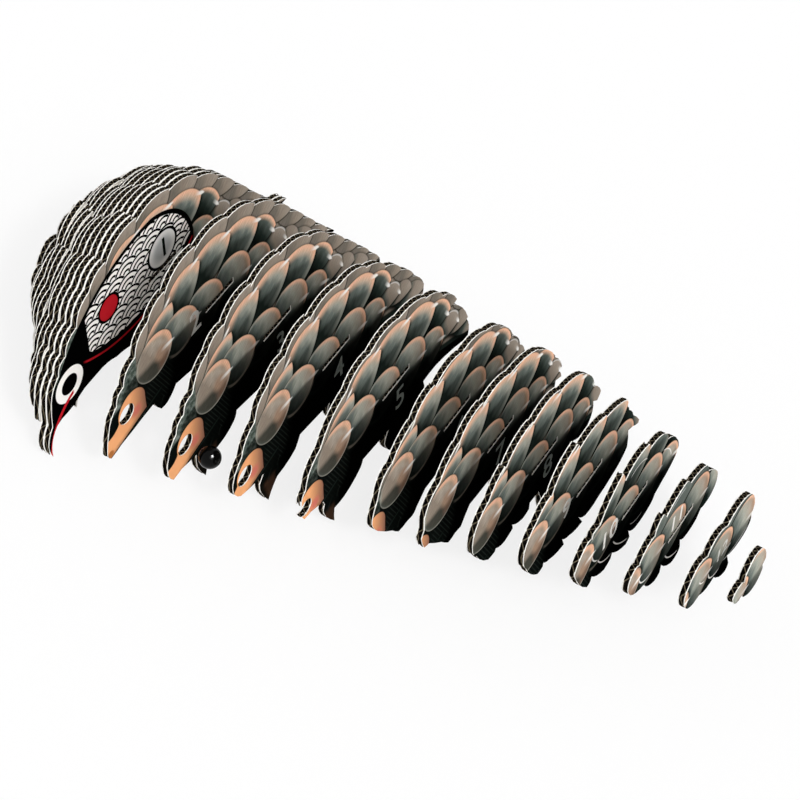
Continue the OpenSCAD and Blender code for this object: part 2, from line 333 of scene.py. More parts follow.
def blank(name: str) -> tuple[bpy.types.Material, Nodes]:
    """Makes an empty material.

    Args:
        name: Its name.

    Returns:
        The material, and its node tree to build in.
    """
    made = bpy.data.materials.new(name)
    made.use_nodes = True
    made.node_tree.nodes.clear()
    return made, Nodes(made.node_tree)


def stand(name: str, data: bpy.types.ID | None) -> bpy.types.Object:
    """Puts a new object into the scene, at the origin."""
    made = bpy.data.objects.new(name, data)
    bpy.context.scene.collection.objects.link(made)
    return made


def circle_of(start: Point, end: Point, bow: float) -> tuple[Point, float]:
    """The circle through two points that bulges to the left of the way between them.

    Args:
        start: First point.
        end: Second point.
        bow: How far the arc stands out from the straight line, to the right if negative.

    Returns:
        The circle's centre and radius.
    """
    if bow < 0.0:
        start, end, bow = end, start, -bow
    across, up = end[0] - start[0], end[1] - start[1]
    chord = math.hypot(across, up)
    radius = (chord * chord / 4 + bow * bow) / (2 * bow)
    back = radius - bow
    middle = ((start[0] + end[0]) / 2, (start[1] + end[1]) / 2)
    centre = (middle[0] + up / chord * back, middle[1] - across / chord * back)
    return centre, radius


class Coat(Enum):
    """How a printed scale is toned from its root to its tip."""

    FLANK = ((0.0, Ink.DEEP), (0.26, Ink.SLATE), (0.52, Ink.SAGE), (0.74, Ink.STONE),
             (0.94, Ink.UMBER))
    ROUND = ((0.5, Ink.BARK), (0.74, Ink.STONE), (1.0, Ink.UMBER))
    SHOULDER = ((0.0, Ink.DEEP), (0.26, Ink.MOSS), (0.48, Ink.SLATE), (0.7, Ink.SAGE),
                (1.0, Ink.STONE))
    DARK = ((0.0, Ink.SHADOW), (0.3, Ink.DEEP), (0.6, Ink.MOSS), (1.0, Ink.SAGE))
    RIDGE = ((0.0, Ink.BARK_DARK), (0.35, Ink.BARK), (0.8, Ink.BARK_LIGHT), (1.0, Ink.BARK))
    TAIL = ((0.0, Ink.DEEP), (0.25, Ink.MOSS), (0.5, Ink.BARK), (1.0, Ink.BARK_LIGHT))


@dataclass(frozen=True)
class Scale:
    """One printed scale, bounded by an upper arc and by its free lower edge.

    Attributes:
        root: Where the upper arc starts.
        tip: Where the upper arc meets the free edge.
        heel: Where the free edge ends.
        top_bow: How far the upper arc stands out.
        low_bow: How far the free edge stands out.
        coat: How it is toned.
        grow: The way it is toned along, from start to end.
        rim: Strength of the copper rim along the upper arc.
        rim_width: Width of that rim.
        rim_core: Share of it that is full.
        glow: The way along which the rim comes up, if not grow.
        wake: Where on that way it starts and is full.
        crease: A line from left to right, under which it darkens.
        dusk: How much it darkens there.
        fade: Heights between which it goes black at the bottom.
        shadow: How far the shadow of its free edge reaches.
    """

    root: Point
    tip: Point
    heel: Point
    top_bow: float
    low_bow: float
    coat: Coat
    grow: tuple[Point, Point]
    rim: float = 1.0
    rim_width: float = 3.4
    rim_core: float = 0.12
    glow: tuple[Point, Point] | None = None
    wake: tuple[float, float] = (0.2, 0.72)
    crease: tuple[Point, Point] | None = None
    dusk: float = 0.7
    fade: tuple[float, float] | None = None
    shadow: float = 3.2

    def paint(self, art: "Artwork", under: Hue) -> Hue:
        """Paints the scale and its shadow over what lies under it.

        Args:
            art: The artwork.
            under: What is printed so far.

        Returns:
            The print with this scale on it.
        """
        top = art.inside(*circle_of(self.root, self.tip, self.top_bow), art.swell)
        low = art.inside(*circle_of(self.tip, self.heel, self.low_bow))
        out = top.most(low)
        along = art.along(*self.grow)
        body = art.shade(self.coat.value, along + art.drift)
        if self.crease:
            below = art.aside(*self.crease).ramp(-1.2, 2.0, 0.0, self.dusk * art.dim)
            body = body.over(Ink.SHADOW, below * along.ramp(1.15, 0.4))
        if self.fade:
            dark = art.z.ramp(*self.fade, 0.0, 0.94 * art.dim**2)
            body = body.over(Ink.BLACK, dark)
            rise = art.z - self.tip[1]
            flush = rise.ramp(2.0, -2.5, 0.0, 0.5) * rise.ramp(-10.0, -3.0)
            body = body.over(Ink.RUST, flush * along.ramp(0.6, 1.0))
        if self.rim:
            body = body.over(Ink.SAGE, top.ramp(-2.2, -0.5) * along.ramp(0.6, 0.15, 0.0, 0.75))
            rim = top.ramp(-self.rim_width, -self.rim_width * self.rim_core)
            near = art.along(*self.glow or self.grow).ramp(*self.wake)
            if self.fade:
                near = near * rise.ramp(-5.0, 1.0)
            body = body.over(Ink.COPPER, rim * near * self.rim)
        body = body.over(Ink.SHADOW, out.ramp(-0.5, 0.0, 0.0, 0.6))
        cast = low.ramp(-0.3, self.shadow, 0.92, 0.0) * top.ramp(1.2, -1.2)
        under = under.over(Ink.SHADOW, cast)
        return under.over(body, out.ramp(0.14, -0.14))


@dataclass(frozen=True)
class ShoulderScale(Scale):
    """An upper scale: a broad copper cap at its tip and a pale free edge."""

    rim_width: float = 6.8
    rim_core: float = 0.06
    wake: tuple[float, float] = (-0.1, 0.5)
    cap: float = 3.4

    def paint(self, art: "Artwork", under: Hue) -> Hue:
        """Paints the scale, then its cap.

        Args:
            art: The artwork.
            under: What is printed so far.

        Returns:
            The print with this scale on it.
        """
        painted = super().paint(art, under)
        top = art.inside(*circle_of(self.root, self.tip, self.top_bow))
        low = art.inside(*circle_of(self.tip, self.heel, self.low_bow))
        out = top.most(low)
        near = art.inside(self.tip, 0.0)
        within = out.ramp(0.1, -0.5)
        pale = low.ramp(-5.0, -0.6) * near.ramp(23.0, 8.0, 0.0, 0.6)
        painted = painted.over(Ink.SAGE, pale * within)
        cap = near.ramp(self.cap * 2.4, self.cap * 0.6, 0.0, 0.95) * low.ramp(-4.6, -1.0)
        return painted.over(Ink.COPPER, cap * within)


@dataclass(frozen=True)
class Glint:
    """A white stroke of light that ends at a scale's tip.

    Attributes:
        start: Its soft end.
        end: Its bright end.
        width: Its widest.
        strength: How white it gets.
    """

    start: Point
    end: Point
    width: float = 1.15
    strength: float = 0.95

    def paint(self, art: "Artwork", under: Hue) -> Hue:
        """Paints the stroke.

        Args:
            art: The artwork.
            under: What is printed so far.

        Returns:
            The print with the stroke on it.
        """
        along = art.along(self.start, self.end)
        aside = abs(art.aside(self.start, self.end))
        body = along.ramp(0.0, 0.75, 0.0, self.strength) * along.ramp(1.06, 0.97)
        slim = aside + along.ramp(0.75, 1.0, 0.0, self.width * 0.5)
        return under.over(Ink.GLINT, body * slim.ramp(self.width, self.width * 0.35))


@dataclass(frozen=True)
class Stroke:
    """A thin drawn arc.

    Attributes:
        start: Its first end.
        end: Its second end.
        bow: How far it stands out to the left of the way between them.
        width: Its width.
        ink: Its colour.
        strength: How strong it is.
    """

    start: Point
    end: Point
    bow: float
    width: float
    ink: Ink
    strength: float = 1.0

    def paint(self, art: "Artwork", under: Hue) -> Hue:
        """Paints the arc, soft at both ends.

        Args:
            art: The artwork.
            under: What is printed so far.

        Returns:
            The print with the arc on it.
        """
        line = abs(art.inside(*circle_of(self.start, self.end, self.bow)))
        along = art.along(self.start, self.end)
        ends = along.ramp(-0.02, 0.12) * along.ramp(1.02, 0.88)
        aside = abs(art.aside(self.start, self.end)) - abs(self.bow)
        soft = line.ramp(self.width, self.width * 0.3, 0.0, self.strength)
        return under.over(self.ink, soft * ends * aside.ramp(2.0, 1.0))


def ridge(tip: Point, root: Point, heel: Point, bow: float) -> Scale:
    """One scale of the back's ridge, whose upper arc follows the cut outline.

    Args:
        tip: Its tip on the outline.
        root: Where the outline's arc starts.
        heel: Where its free edge ends inside.
        bow: How far its upper arc stands out.

    Returns:
        The scale.
    """
    inner = ((root[0] + heel[0]) / 2, (root[1] + heel[1]) / 2 - 3.0)
    return Scale(root, tip, heel, bow, 1.5, Coat.RIDGE, (inner, tip), rim=0.0, shadow=1.3)


RIDGE = (
    ridge((166.0, -41.5), (152.5, -28.0), (150.0, -36.0), 2.4),
    ridge((153.2, -28.4), (142.6, -15.3), (138.5, -20.5), 1.7),
    ridge((144.6, -15.6), (133.3, -2.0), (130.0, -8.5), 1.7),
    ridge((135.5, -2.2), (123.4, 11.2), (120.5, 3.5), 1.8),
    ridge((125.6, 11.2), (112.0, 25.8), (111.0, 14.5), 2.3),
    ridge((114.5, 25.8), (97.2, 39.6), (100.0, 25.0), 2.6),
    ridge((99.8, 39.4), (78.0, 49.4), (88.0, 32.0), 3.4),
    ridge((79.8, 49.8), (54.5, 51.4), (72.0, 38.0), 4.2),
    ridge((56.3, 53.2), (32.4, 45.4), (48.0, 39.0), 5.0),
    ridge((33.6, 47.0), (20.2, 40.4), (27.5, 33.0), 2.9),
    ridge((21.0, 40.2), (9.4, 26.6), (14.5, 26.0), 3.4),
)

TAIL_SIDE = (
    Scale((128.0, -5.0), (141.0, -20.0), (124.0, -16.5), 2.4, 1.4, Coat.TAIL,
        ((122.0, -6.0), (140.0, -18.0)), rim=0.0),
    Scale((118.0, 4.0), (129.6, -9.4), (115.0, -7.0), 3.2, 1.4, Coat.TAIL,
        ((113.0, 2.0), (128.0, -6.0)), rim=0.0),
    Scale((106.0, 11.5), (120.3, -3.0), (104.5, -2.5), 4.6, 1.2, Coat.TAIL,
        ((105.0, 2.0), (117.0, 4.0)), rim=0.0),
)

SHOULDERS = (
    Scale((98.0, 30.2), (112.9, 12.2), (98.0, 10.8), 3.4, 1.8, Coat.DARK,
        ((97.0, 15.0), (113.0, 20.0)), rim_width=3.4),
    ShoulderScale((78.8, 40.6), (100.2, 26.6), (89.0, 15.6), 4.3, 2.0, Coat.SHOULDER,
        ((79.0, 26.0), (96.0, 38.0)), crease=((84.0, 30.0), (96.0, 24.0)), dusk=0.4),
    ShoulderScale((56.4, 45.4), (80.2, 37.4), (67.0, 22.8), 4.7, 2.2, Coat.SHOULDER,
        ((57.0, 33.0), (72.0, 45.0)), crease=((60.0, 34.0), (74.0, 33.4)), dusk=0.55),
    ShoulderScale((33.8, 39.5), (57.9, 41.8), (48.5, 23.5), 5.7, 1.7, Coat.SHOULDER,
        ((37.0, 33.0), (50.0, 45.0)), crease=((42.0, 32.4), (52.0, 35.6)), dusk=0.5),
    ShoulderScale((16.3, 27.0), (37.0, 35.8), (35.4, 23.5), 3.8, 1.1, Coat.SHOULDER,
        ((22.0, 26.0), (30.0, 40.0)), cap=2.6, rim_width=5.5),
)

FLANKS = (
    Scale((88.0, 14.0), (107.6, -1.4), (87.0, -5.5), 6.4, 6.0, Coat.FLANK,
        ((91.0, 2.0), (106.0, 8.0)), rim_width=2.6, fade=(6.0, -3.5)),
    Scale((70.0, 23.0), (92.3, 5.4), (67.0, 1.0), 8.2, 7.6, Coat.FLANK,
        ((71.0, 10.0), (91.0, 18.0)), crease=((74.0, 8.0), (92.0, 2.5)), dusk=0.6,
        fade=(10.0, 0.0)),
    Scale((50.0, 24.8), (71.9, 9.4), (48.0, 3.0), 7.0, 7.2, Coat.FLANK,
        ((51.0, 13.0), (71.0, 20.0)), crease=((54.0, 12.8), (72.0, 8.5)), dusk=0.7,
        fade=(13.0, 5.5)),
    Scale((29.0, 24.6), (53.2, 12.4), (28.0, 5.0), 7.4, 7.2, Coat.FLANK,
        ((31.0, 14.0), (52.0, 21.0)), crease=((34.0, 13.2), (53.0, 12.8)), dusk=0.8,
        fade=(7.0, -6.0)),
    Scale((9.0, 15.5), (34.5, 16.0), (9.0, 14.0), 12.5, 12.3, Coat.ROUND,
        ((12.0, 8.0), (31.0, 24.0)), rim_width=3.6, glow=((25.0, 18.0), (28.4, 21.4)),
        wake=(0.0, 1.0)),
)

GLINTS = (
    Glint((117.6, 1.5), (120.2, -4.4), 1.1),
    Glint((107.8, 15.4), (111.6, 9.0), 1.3),
    Glint((95.5, 30.6), (102.2, 25.8), 1.4),
    Glint((71.0, 40.4), (80.6, 39.4), 1.4),
    Glint((48.6, 42.8), (57.6, 44.4), 1.35),
    Glint((29.6, 35.2), (36.2, 39.8), 1.3),
    Glint((100.5, 1.8), (108.8, -2.0), 1.4, 0.8),
    Glint((84.0, 6.0), (93.2, 4.2), 1.5, 0.6),
    Glint((66.0, 8.0), (72.3, 6.6), 1.2, 0.3),
    Glint((45.0, 12.9), (55.4, 10.9), 1.5, 0.48),
    Glint((25.4, 14.4), (35.8, 13.7), 1.6, 0.88),
)

TAIL_EDGE = Stroke((111.3, 10.35), (119.55, 1.37), 1.5, 0.6, Ink.GLINT, 0.42)
CHEEK_EDGE = Stroke((52.0, 9.0), (31.0, 5.0), 5.4, 1.2, Ink.STONE, 0.2)
CLAW_EDGES = (
    Stroke((15.5, -22.0), (21.6, -13.2), 1.4, 1.1, Ink.SLATE, 0.6),
    Stroke((22.5, -19.0), (25.0, -14.0), 0.8, 0.9, Ink.SLATE, 0.3),
)


class Artwork:
    """The animal's printed coat, drawn on the place that a surface point has on the print."""

    def __init__(self, nodes: Nodes, dim: float = 1.0, swell: float = 0.0) -> None:
        """Works out the place on the print, and the grain of the ink.

        Args:
            nodes: The tree to draw in.
            dim: How far the lower parts of the scales go dark.
            swell: How much larger the scales are drawn, in millimetres.
        """
        self.nodes = nodes
        self.dim = dim
        self.swell = swell
        parts = nodes.node("ShaderNodeSeparateXYZ", {0: nodes.millimetres()})
        self.x = Val(nodes, parts.outputs[0]) + EYE_AHEAD
        self.z = Val(nodes, parts.outputs[2]) - EYE_UP
        self.point = nodes.node("ShaderNodeCombineXYZ", {0: self.x, 1: self.z}).outputs[0]
        self.grain = nodes.noise(self._turned(38.0, (4.5, 0.4, 1.0)), 0.9, 5.0)
        self.drift = (nodes.noise(self._turned(50.0, (1.6, 0.8, 1.0)), 0.16, 3.0) - 0.5) * 0.4

    def _turned(self, angle: float, stretch: Triple) -> bpy.types.NodeSocket:
        """The place, for a pattern turned by an angle in degrees and then stretched."""
        made = self.nodes.node(
            "ShaderNodeMapping",
            {0: self.point, 2: (0.0, 0.0, math.radians(angle)), 3: stretch},
            vector_type="TEXTURE",
        )
        return made.outputs[0]

    def inside(self, centre: Point, radius: float, more: float = 0.0) -> Val:
        """How far a point lies outside a circle, negative inside it.

        Args:
            centre: The circle's centre.
            radius: Its radius.
            more: What is added to the radius.

        Returns:
            The distance, in millimetres.
        """
        far = self.nodes.vector("DISTANCE", self.point, (*centre, 0.0))
        return Val(self.nodes, far.outputs["Value"]) - (radius + more)

    def along(self, start: Point, end: Point) -> Val:
        """How far along the way from start to end a point lies.

        Args:
            start: Where it is 0.
            end: Where it is 1.

        Returns:
            The share of the way.
        """
        way = Vector((end[0] - start[0], end[1] - start[1], 0.0))
        unit = way / way.length_squared
        dot = self.nodes.vector("DOT_PRODUCT", self.point, tuple(unit))
        return Val(self.nodes, dot.outputs["Value"]) - Vector((*start, 0.0)).dot(unit)

    def aside(self, start: Point, end: Point) -> Val:
        """How far to the right of the way from start to end a point lies.

        Args:
            start: First point of the way.
            end: Second point of the way.

        Returns:
            The distance, in millimetres.
        """
        way = Vector((end[1] - start[1], start[0] - end[0], 0.0)).normalized()
        dot = self.nodes.vector("DOT_PRODUCT", self.point, tuple(way))
        return Val(self.nodes, dot.outputs["Value"]) - Vector((*start, 0.0)).dot(way)

    def shade(self, stops: tuple[tuple[float, Ink], ...], along: Val) -> Hue:
        """A run of inks along a number from 0 to 1."""
        made = self.nodes.node("ShaderNodeValToRGB", {0: along}, stops=stops)
        return Hue(self.nodes, made.outputs[0])

    def coat(self) -> Hue:
        """Paints the whole animal, from the back's ridge to the face.

        Returns:
            The print.
        """
        ground = self.shade(Coat.RIDGE.value, self.grain)
        for scale in RIDGE:
            ground = scale.paint(self, ground)
        ground = self._belly(ground)
        for scale in (*TAIL_SIDE, *SHOULDERS):
            ground = scale.paint(self, ground)
        if self.swell:
            ground = ground.over(Ink.SLATE, self.z.ramp(20.0, 22.0, 0.0, 0.7))
        for scale in FLANKS:
            ground = scale.paint(self, ground)
        ground = self._hollow(ground)
        ground = self._head(ground.lit(self.grain.ramp(0.3, 0.7, 0.82, 1.16)))
        for mark in (*GLINTS, TAIL_EDGE):
            ground = mark.paint(self, ground)
        return ground

    def _hollow(self, ground: Hue) -> Hue:
        """Paints the dark hollow and the warm cheek of the round first scale.

        Args:
            ground: What is printed so far.

        Returns:
            The print with them on it.
        """
        disc = self.inside((21.3, 15.5), 12.4)
        within = disc.ramp(0.1, -0.9)
        hollow = self.aside((10.0, 14.8), (26.0, 13.6)).ramp(-1.6, 3.2, 0.0, 0.84)
        hollow = hollow * self.x.ramp(30.0, 22.0)
        ground = ground.over(Ink.DEEP, hollow * within)
        brown = self.x.ramp(22.0, 27.0, 0.0, 0.8) * self.z.ramp(13.6, 9.0)
        warm = self.inside((26.4, 13.6), 0.0).ramp(6.0, 2.0, 0.0, 0.95)
        ground = ground.over(Ink.RUST, brown * within).over(Ink.UMBER, warm * within)
        crest = disc.ramp(-3.6, -0.6, 0.0, 0.7) * disc.ramp(0.1, -0.3)
        crest = crest * self.along((14.0, 18.0), (24.0, 28.0)).ramp(0.3, 1.0)
        return CHEEK_EDGE.paint(self, ground.over(Ink.COPPER, crest))

    def _belly(self, ground: Hue) -> Hue:
        """Paints the black underside, the legs and the claws.

        Args:
            ground: What is printed so far.

        Returns:
            The print with them on it.
        """
        flank = self.x.ramp(103.5, 102.5) * self.z.ramp(15.5, 14.5)
        slope = self.z + (self.x - 104.0).most(0.0) * 0.45 + 8.0
        edge = slope.ramp(4.4, 2.4) * self.x.ramp(132.0, 122.0)
        ground = ground.over(Ink.DEEP, edge).over(Ink.BLACK, flank.most(slope.ramp(0.8, -0.8)))
        claw = self.z.ramp(-18.0, -23.0) * self.x.ramp(21.5, 19.0)
        claw = claw * self.aside((14.6, -33.0), (12.2, -20.0)).ramp(-1.6, 1.6, 0.12, 1.0)
        ground = ground.over(Ink.CLAW, claw)
        for stroke in CLAW_EDGES:
            ground = stroke.paint(self, ground)
        return ground

    def _head(self, ground: Hue) -> Hue:
        """Paints the cheek, the scalp, the brow and the peach face with its blush.

        Args:
            ground: What is printed so far.

        Returns:
            The print with the head on it.
        """
        bare = self.inside((21.8, 15.0), 12.8).ramp(0.0, 0.4)
        cheek = self.inside((19.0, -4.0), 13.0).ramp(3.0, -3.0) * bare
        hatch = self.nodes.math("SINE", self.along((0.0, 0.0), (0.25, 0.12)))
        hatch = cheek * hatch.ramp(0.2, 0.9, 0.0, 0.1)
        ground = ground.over(Ink.SHADOW, cheek).over(Ink.MOSS, hatch)
        mottle = self.nodes.noise(self.point, 0.42, 4.0)
        scalp = self.shade(((0.3, Ink.DEEP), (0.52, Ink.SKIN), (0.72, Ink.SKIN_LIGHT)), mottle)
        crown = self.aside((9.0, 6.0), (10.3, 27.4)).ramp(0.5, -0.5) * bare
        ground = ground.over(scalp, crown * self.z.ramp(-6.4, -5.6))
        bumps = self.inside((-4.6, 9.6), 3.0).ramp(0.5, -2.5)
        ground = ground.over(Ink.SKIN_LIGHT, bumps * mottle.ramp(0.35, 0.55, 0.2, 0.8))
        socket = self.inside((7.0, 6.5), 8.5).ramp(3.0, 0.0, 0.0, 0.8)
        ground = ground.over(Ink.SHADOW, socket * bare)
        brow = self.inside((-12.6, 5.0), 9.1)
        dark = brow.most(self.aside((-12.0, 6.0), (-1.5, 8.8)) * -1.0)
        ground = ground.over(Ink.SHADOW, dark.ramp(1.4, -0.6))
        jaw = self.aside((-12.0, -15.2), (12.5, -9.0))
        cut = self.z - 5.5
        snout = jaw.most(brow * -1.0).most(cut).most(self.x - 4.0)
        chin = jaw.most(self.x - 12.8).most(self.z - 0.5).most(3.0 - self.x)
        face = self.inside((3.6, 0.7), 9.3).least(snout).least(chin)
        throat = self.x.ramp(25.5, 22.5) * bare
        ground = ground.over(Ink.SHADOW, jaw.ramp(-0.4, 0.4) * throat * 0.9)
        ground = ground.over(Ink.DEEP, abs(jaw - 1.4).ramp(1.0, 0.3, 0.0, 0.5) * throat)
        peach = self.shade(
            ((0.0, Ink.PEACH), (0.56, Ink.PEACH), (0.93, Ink.PEACH_DARK)),
            self.along((-14.0, -2.0), (14.5, -5.0)) + (self.grain - 0.5) * 0.1,
        )
        peach = peach.over(Ink.PEACH_DARK, jaw.ramp(-3.2, 0.0, 0.0, 0.55))
        peach = peach.over(Ink.BLUSH, self.inside((6.2, -4.2), 0.0).ramp(5.2, 1.0, 0.0, 0.8))
        peach = peach.over(Ink.NOSTRIL, self.inside((-13.4, -13.4), 2.2).ramp(0.5, -0.5))
        ground = ground.over(Ink.SHADOW, face.ramp(0.0, 1.6, 0.8, 0.0))
        return ground.over(peach, face.ramp(0.25, -0.25))


@dataclass(frozen=True)
class Emblem:
    """The made-up picture on the first slice: white waves, a red sun and a grey moon.

    Attributes:
        wave: Radius of a wave.
        rings: How many rings a wave has.
        sun: Centre of the red disc, and its radius.
        moon: Centre of the grey disc, and its radius.
        coast: Centre of the arc that the waves end at, and its radius.
        eye: Radii of the eye's ring and of its pupil.
    """

    wave: float = 9.0
    rings: int = 3
    sun: tuple[Point, float] = ((31.0, 19.0), 6.2)
    moon: tuple[Point, float] = ((70.0, 19.5), 9.4)
    coast: tuple[Point, float] = ((48.0, 62.0), 68.0)
    eye: tuple[float, float] = (9.4, 5.3)

    def paint(self, art: Artwork, under: Hue) -> Hue:
        """Paints the black field and what is in it.

        Args:
            art: The artwork.
            under: What is printed so far.

        Returns:
            The print with the picture on it.
        """
        bow = art.inside((60.3, -38.0), 81.6)
        end = art.inside((57.0, 9.0), 35.3).least(art.x - 57.0)
        out = bow.most(end).most(art.x - 92.5)
        ground = under.over(Ink.BLACK, out.ramp(0.2, -0.2))
        sea = out.most(art.inside(*self.coast)).most(13.0 - art.x)
        ground = ground.over(Ink.GLINT, self._waves(art) * sea.ramp(-2.2, -2.6))
        line = abs(art.inside(*self.coast, 1.5)).ramp(0.7, 0.5) * art.x.ramp(10.0, 13.0)
        ground = ground.over(Ink.RED, line * out.ramp(-1.0, -1.4, 0.0, 0.75))
        sun, moon = art.inside(*self.sun), art.inside(*self.moon)
        for disc, ink in ((sun, Ink.RED), (moon, Ink.GREY)):
            ground = ground.over(Ink.BLACK, disc.ramp(1.5, 1.2))
            ground = ground.over(ink, disc.ramp(*EDGE))
        ground = ground.over(Ink.GLINT, moon.ramp(-5.5, -0.5, 0.0, 0.6) * moon.ramp(0.0, -0.3))
        return self._eye(art, ground)

    def _waves(self, art: Artwork) -> Val:
        """Overlapping rows of ringed waves, 1 in their white rings.

        Args:
            art: The artwork.

        Returns:
            The pattern.
        """
        nodes, step = art.nodes, self.wave / 2
        row = nodes.math("FLOOR", art.z / step + 40.0)
        up = art.z + 40.0 * step - row * step + step
        across = art.x + nodes.math("PINGPONG", row, 1.0) * self.wave
        here = nodes.math("PINGPONG", across, self.wave)

        def far(side: Val, rise: Val) -> Val:
            """Distance from a wave's centre."""
            return nodes.math("SQRT", side * side + rise * rise)

        front = far(here, up)
        middle = far(self.wave - here, up - step)
        behind = far(here, up - self.wave)
        sharp = self.wave + 0.01, self.wave - 0.01
        pick, rest = front.ramp(*sharp), middle.ramp(*sharp)
        back = middle * rest + behind * (1.0 - rest)
        near = front * pick + back * (1.0 - pick)
        turns = 2 * math.pi * self.rings / self.wave
        return nodes.math("SINE", near * turns).ramp(-0.45, -0.2)

    def _eye(self, art: Artwork, ground: Hue) -> Hue:
        """Paints the ringed eye disc and the tongue.

        Args:
            art: The artwork.
            ground: What is printed so far.

        Returns:
            The print with them on it.
        """
        for ink, radius in zip((Ink.GLINT, Ink.BLACK), self.eye):
            ground = ground.over(ink, art.inside((0.0, 0.0), radius).ramp(*EDGE))
        tongue = abs(art.inside(*circle_of((-17.5, -32.5), (1.0, -7.0), 4.7)))
        where = art.x.ramp(2.5, 1.0) * art.z.ramp(-4.5, -5.5)
        throat = art.z.ramp(-15.0, -17.0) * art.x.ramp(-7.0, -9.0)
        ground = ground.over(Ink.BLACK, throat)
        return ground.over(Ink.RED, tongue.ramp(1.25, 0.85) * where)


class Side(Enum):
    """Which face of a slice is printed, by the sign of its normal along the stack."""

    LEFT = -1.0
    RIGHT = 1.0


@dataclass(frozen=True)
class Board:
    """Corrugated board: printed or bare faces, white cut liners, a tan core darkened by
    painted shade.

    Attributes:
        name: Name of the material.
        art: The print on its outer face, or None for bare board.
        side: Which face is printed.
        start: Where its left face lies along the stack, in millimetres.
        strokes: Thin arcs that only this slice's print has.
        telegraph: How far the flutes show through the faces, in millimetres.
        nap: How rough the paper's surface is, in millimetres.
    """

    name: str
    art: bpy.types.NodeTree | None
    side: Side
    start: float = 0.0
    strokes: tuple[Stroke, ...] = ()
    telegraph: float = 0.012
    nap: float = 0.02

    def make(self) -> bpy.types.Material:
        """Builds the material.

        Returns:
            The new material.
        """
        made, nodes = blank(self.name)
        place = nodes.millimetres()
        parts = nodes.node("ShaderNodeSeparateXYZ", {0: place})
        across = Val(nodes, parts.outputs[0])
        deep = Val(nodes, parts.outputs[1]) - self.start + 100 * BOARD
        normal = nodes.node("ShaderNodeTexCoord").outputs["Normal"]
        turned = nodes.node("ShaderNodeSeparateXYZ", {0: normal})
        facing = Val(nodes, turned.outputs[1])
        flat = abs(facing)
        face = BOARD / 2
        layer = abs(nodes.math("FLOORED_MODULO", deep, BOARD) - face)
        outer = layer.ramp(face - 0.2, face - 0.15) * flat.ramp(0.9, 0.95)
        liner = layer.ramp(face - LINER - 0.26, face - LINER - 0.1)
        cut = flat.ramp(0.1, 0.05)
        fibre = nodes.noise(place, 2.6, 5.0)

        # Painted shade: the flute channel walls are near black, and the cut core paper is a
        # darker tan.
        tint = nodes.mix(1.0, Ink.FLUTE, Ink.FLUTE)
        tint = tint.over(Ink.WEB, cut).over(Ink.LINER, cut * liner)
        tint = tint.over(Ink.BARK, cut * fibre.ramp(0.5, 0.75, 0.0, 0.35))
        bare = nodes.mix(fibre.ramp(0.3, 0.7, 0.0, 0.25), Ink.BACK, Ink.GREY)
        tint = tint.over(bare, outer)
        if self.art is not None:
            group = nodes.node("ShaderNodeGroup", node_tree=self.art)
            print_ = Hue(nodes, group.outputs[0])
            if self.strokes:
                art = Artwork(nodes)
                for stroke in self.strokes:
                    print_ = stroke.paint(art, print_)
            printed = outer * (facing * self.side.value).ramp(0.4, 0.5)
            tint = tint.over(print_, printed)
        wave = nodes.math("SINE", across * (2 * math.pi / FLUTE_PITCH))
        height = outer * wave * self.telegraph + fibre * self.nap
        bump = nodes.node(
            "ShaderNodeBump", {"Height": height, "Distance": MM, "Strength": 0.6}
        )
        rough = fibre.ramp(0.2, 0.8, 0.5, 0.68) + cut * 0.2
        nodes.finish(tint, rough, 0.0, Normal=bump.outputs[0])
        return made


def art_group(
    name: str, emblem: bool = False, dim: float = 1.0, swell: float = 0.0
) -> bpy.types.NodeTree:
    """Draws the print once, as a group that several boards share.

    Args:
        name: Name of the group.
        emblem: Whether the first slice's picture lies over the coat.
        dim: How far the lower parts of the scales go dark.
        swell: How much larger the scales are drawn, in millimetres.

    Returns:
        The group, with the print as its colour.
    """
    tree = bpy.data.node_groups.new(name, "ShaderNodeTree")
    tree.interface.new_socket("Color", in_out="OUTPUT", socket_type="NodeSocketColor")
    nodes = Nodes(tree)
    art = Artwork(nodes, dim, swell)
    print_ = art.coat()
    if emblem:
        print_ = Emblem().paint(art, print_)
    nodes.node("NodeGroupOutput", {0: print_})
    return tree


@dataclass(frozen=True)
class Clouded:
    """A plain finish of one ink, faintly clouded with another.

    Attributes:
        name: Name of the material.
        ink: Its colour.
        cloud: The clouds' colour.
        cover: How much the clouds cover.
        scale: How many clouds there are per millimetre.
        rough: Noise and roughness between the clouds and in them.
        specular: How much it mirrors.
    """

    name: str
    ink: Ink
    cloud: Ink = Ink.MOSS
    cover: float = 0.4
    scale: float = 0.5
    rough: tuple[float, float, float, float] = (0.2, 0.8, 0.5, 0.65)
    specular: float = 0.0

    def make(self) -> bpy.types.Material:
        """Builds the material.

        Returns:
            The new material.
        """
        made, nodes = blank(self.name)
        grain = nodes.noise(nodes.millimetres(), self.scale, 4.0)
        tint = nodes.mix(grain.ramp(0.45, 0.8, 0.0, self.cover), self.ink, self.cloud)
        nodes.finish(tint, grain.ramp(*self.rough), self.specular)
        return made


GLOSS = Clouded(
    "bead_plastic", Ink.BLACK, Ink.SHADOW, 0.3, 0.9, (0.3, 0.8, 0.05, 0.1), specular=0.1
)

